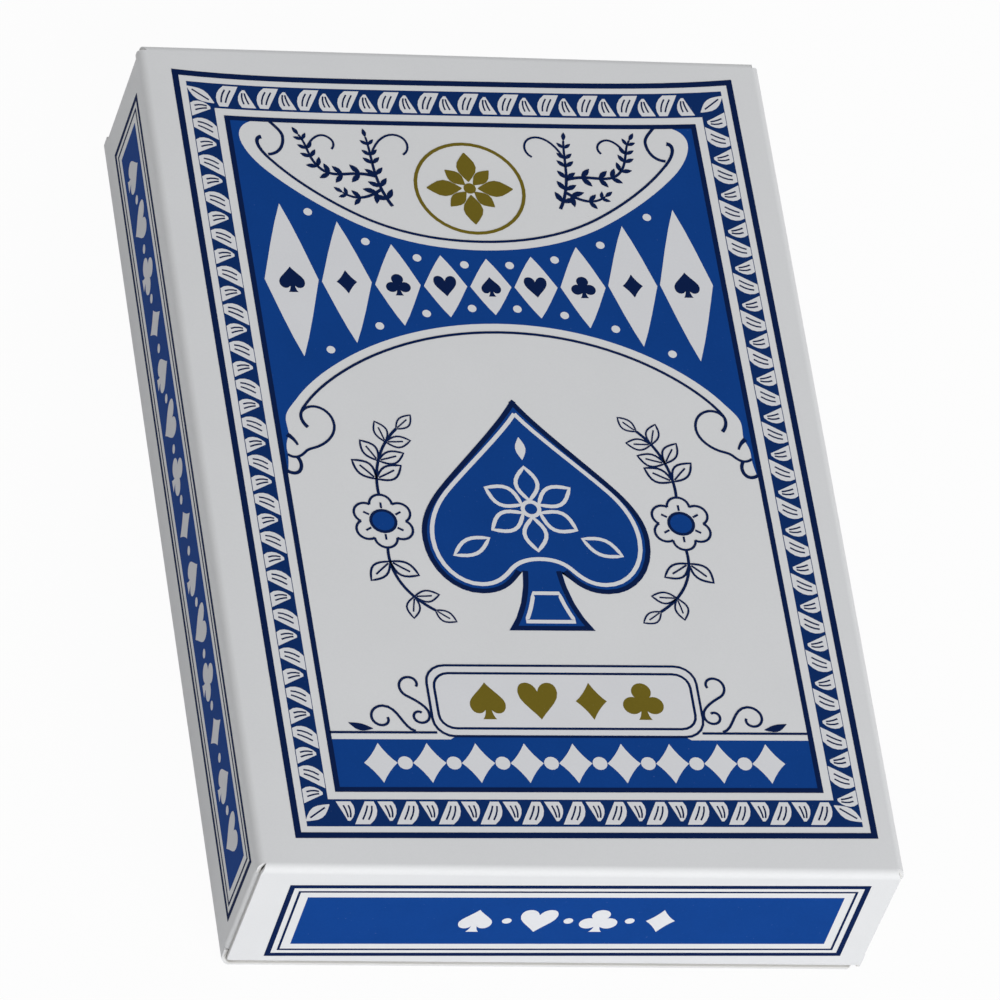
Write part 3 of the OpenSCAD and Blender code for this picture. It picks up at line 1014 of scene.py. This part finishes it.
def label_art(half_w, half_h, fill_gap, row):
    """A long label: a navy line, a thin line inside it, and a blue field with pale suit marks and beads
    between."""
    art = {}
    add(art, "navy", [box_line(half_w, half_h, width=0.5, height=0.5)])
    add(art, "navy", [box_line(half_w - 1.0, half_h - 1.0, width=0.22, height=0.22)])
    fill_w, fill_h = half_w - fill_gap, half_h - fill_gap
    add(art, "blue", [plain_field(fill_w, -fill_h, fill_h)])
    pitch = row[1][1] - row[0][1]
    for name, x, size in row:
        add(art, "pale", placed(marks[name], (x, 0), size))
        if x != row[-1][1]:
            add(art, "pale", placed([disc(0.45, 4)], (x + pitch / 2, 0)))
    return art


def lattice(columns, rows, pitch_x, pitch_y):
    """The places of an even lattice about the origin, column by column."""
    return [((i - (columns - 1) / 2) * pitch_x, (j - (rows - 1) / 2) * pitch_y)
            for i in range(columns) for j in range(rows)]


def back_art():
    """The back panel's print: the same border round a blue field with a lattice of pale lozenges."""
    art = {}
    chain_border(art)
    field_gap = 1.3
    field_w, field_h = FIELD_HALF_W - field_gap, FIELD_HALF_H - field_gap
    add(art, "blue", [plain_field(field_w, -field_h, field_h)])
    columns, rows = 9, 13
    pitch_x, pitch_y = 2 * field_w / columns, 2 * field_h / rows
    lozenge = filled_half(bezier(DIAMOND_OUTLINE, 2), MARK_FOOT, 1)
    for at in lattice(columns, rows, pitch_x, pitch_y):
        add(art, "pale", placed([lozenge], at, 3.9))
    for at in lattice(columns - 1, rows - 1, pitch_x, pitch_y):
        add(art, "pale", placed([disc(0.5, 2)], at))
    return art


# Panels: each puts a print's (x, y, height), in metres, on its face of the carton

SKIN_TOP = DEPTH - PRINT_RELIEF
PRINT_SAG = 0.6 * MM
CORNER_LIFT = 1.36

# How the front's print sits: its turn in degrees, then its way right and up in millimetres
FRONT_PLACE = (0.63, 0.41, 0.46)


def shifted(x, y, turn, right, up):
    """A print's points turned by a part of a degree and moved, as it sits a little askew on its panel."""
    c, s = math.cos(math.radians(turn)), math.sin(math.radians(turn))
    return x * c - y * s + right * MM, x * s + y * c + up * MM


def on_front(x, y, h):
    """The front face, where the board is not quite flat: the print dips along its far edge, and rises again
    towards the corners there."""
    bow = 1 - CORNER_LIFT * (x / (FRAME_HALF_W * MM)) ** 4
    dip = bow * PRINT_SAG * np.clip(y / (FRAME_HALF_H * MM), 0, 1) ** 2
    u, v = shifted(x, y - dip, *FRONT_PLACE)
    return np.stack([u, v, SKIN_TOP + h], axis=2)


def on_back(x, y, h):
    """The back face, seen from below."""
    return np.stack([-x, y, PRINT_RELIEF - h], axis=2)


def upright(outward, right, reach, place):
    """An upright face of the carton, read from outside with the front uppermost: its outward and rightward
    directions along the table, how far out it lies and how its print sits."""
    def on_face(x, y, h):
        """The print's points on this face."""
        u, v = shifted(x, y, *place)
        out = reach - PRINT_RELIEF + h
        return np.stack([outward[0] * out + right[0] * u, outward[1] * out + right[1] * u, v], axis=2)

    return on_face


on_left = upright(outward=(-1, 0), right=(0, -1), reach=HALF_W, place=(0.4, 0.9, 9.1))
on_right = upright(outward=(1, 0), right=(0, 1), reach=HALF_W, place=(-0.2, 0.2, 8.6))
on_top = upright(outward=(0, 1), right=(-1, 0), reach=HALF_L, place=(-0.3, 0.1, 8.3))
on_bottom = upright(outward=(0, -1), right=(1, 0), reach=HALF_L, place=(0.84, 0.4, 8.3))


def lay_ink(body, prints):
    """Lays each ink of the given (print, panel) pairs as thin closed films in one piece that rides on a body.
    Neighbouring films differ a hair in height, so that none lies level with another it touches."""
    for ink, material in inks.items():
        films = []
        for art, panel in prints:
            for k, shape in enumerate(art.get(ink, [])):
                x, y = shape[..., 0] * MM, shape[..., 1] * MM
                top = INK_LAYER * ink_layers[ink] + INK_STEP * (k % INK_STEPS)
                films.append(closed_sheet(panel(x, y, 0 * x + top), panel(x, y, 0 * x - INK_SINK)))
        if films:
            piece = new_piece(f"{body}_{ink}_print", films, material)
            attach(piece, body)


side_art = label_art(half_w=43.0, half_h=5.0, fill_gap=2.0, row=mark_row(count=14, pitch=5.7, size=4.0))
lid_art = label_art(half_w=27.3, half_h=6.0, fill_gap=2.05, row=mark_row(count=4, pitch=5.8, size=3.7))
lay_ink("carton", [(front_art(), on_front), (back_art(), on_back), (side_art, on_left),
                   (side_art, on_right)])
lay_ink("top_lid", [(lid_art, on_top)])
lay_ink("bottom_lid", [(lid_art, on_bottom)])


# Cards

for node in frame["nodes"].values():
    if node["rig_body"] == "deck":
        node.data.materials.clear()
        node.data.materials.append(card_paper)


# Floor, light and camera

FLOOR_DROP = 0.02 * MM
FLOOR_SIZE = 3.0
FLOOR_WHITE = 0.96
FLOOR_GREY = (0.72, 0.72, 0.72)
WORLD_LIGHT = 0.42
LENS = 416.95
SENSOR = 36
CAMERA_AIM = (-2.31 * MM, -5.32 * MM, DEPTH)
CAMERA_DISTANCE = 1069.3 * MM


def looked_at(tree):
    """One where the camera looks, directly or by way of a shiny or clear surface, and nought for
    other light."""
    path = add_node(tree, "ShaderNodeLightPath")
    seen = math_node(tree, "MAXIMUM", path.outputs["Is Camera Ray"], path.outputs["Is Glossy Ray"])
    return math_node(tree, "MAXIMUM", seen, path.outputs["Is Transmission Ray"])


def make_floor():
    """A plain pale floor that the camera sees as white, with the carton's soft shadow kept on it."""
    half = FLOOR_SIZE / 2
    mesh = bpy.data.meshes.new("floor")
    corners = [(-half, -half, -FLOOR_DROP), (half, -half, -FLOOR_DROP), (half, half, -FLOOR_DROP),
               (-half, half, -FLOOR_DROP)]
    mesh.from_pydata(corners, [], [(0, 1, 2, 3)])
    material = bpy.data.materials.new("pale_floor")
    material.use_nodes = True
    tree = material.node_tree
    shader = tree.nodes["Principled BSDF"]
    shader.inputs["Base Color"].default_value = (*FLOOR_GREY, 1)
    shader.inputs["Roughness"].default_value = 0.9
    shader.inputs["Specular IOR Level"].default_value = 0.1
    glow = add_node(tree, "ShaderNodeEmission")
    glow.inputs["Strength"].default_value = 1.0
    mix = add_node(tree, "ShaderNodeMixShader")
    tree.links.new(math_node(tree, "MULTIPLY", looked_at(tree), FLOOR_WHITE), mix.inputs[0])
    tree.links.new(shader.outputs[0], mix.inputs[1])
    tree.links.new(glow.outputs[0], mix.inputs[2])
    tree.links.new(mix.outputs[0], tree.nodes["Material Output"].inputs["Surface"])
    mesh.materials.append(material)
    floor = in_scene("floor", mesh)


def make_world(strength):
    """Even soft light from all round, seen as white by the camera."""
    world = bpy.data.worlds.new("studio")
    world.use_nodes = True
    tree = world.node_tree
    backdrop = tree.nodes["Background"]
    backdrop.inputs["Color"].default_value = (1, 1, 1, 1)
    tree.links.new(spread(tree, looked_at(tree), strength, 1.0), backdrop.inputs["Strength"])
    bpy.context.scene.world = world


def make_lamp(name, azimuth, elevation, distance, size, power):
    """A square soft lamp that faces the carton from an azimuth and elevation in degrees."""
    data = bpy.data.lights.new(name, "AREA")
    data.energy = power
    data.size = size
    stand_at(in_scene(name, data), (0, 0, DEPTH / 2), azimuth, elevation, distance)


def stand_at(thing, aim, azimuth, elevation, distance, roll=0):
    """Places a lamp or camera round a point it faces: azimuth 0 looks along +Y, and roll turns it about
    its axis. Angles are in degrees."""
    a, e = math.radians(azimuth), math.radians(elevation)
    back = Vector((math.sin(a) * math.cos(e), -math.cos(a) * math.cos(e), math.sin(e)))
    thing.location = Vector(aim) + back * distance
    level = (-back).to_track_quat("-Z", "Y")
    thing.rotation_mode = "QUATERNION"
    thing.rotation_quaternion = level @ Quaternion((0, 0, 1), math.radians(roll))


def make_camera():
    """The camera at the photograph's angle, with a long lens."""
    data = bpy.data.cameras.new("camera")
    data.lens = LENS
    data.sensor_width = SENSOR
    data.clip_start, data.clip_end = 0.01, 20
    camera = in_scene("camera", data)
    stand_at(camera, CAMERA_AIM, azimuth=-26.27, elevation=52.68, distance=CAMERA_DISTANCE, roll=22.52)
    bpy.context.scene.camera = camera


make_floor()
make_world(WORLD_LIGHT)
make_lamp("key", azimuth=16, elevation=27, distance=1.0, size=0.8, power=7.0)
make_lamp("fill", azimuth=150, elevation=40, distance=1.0, size=0.8, power=1.0)
make_camera()
bpy.context.scene.view_settings.view_transform = "Standard"
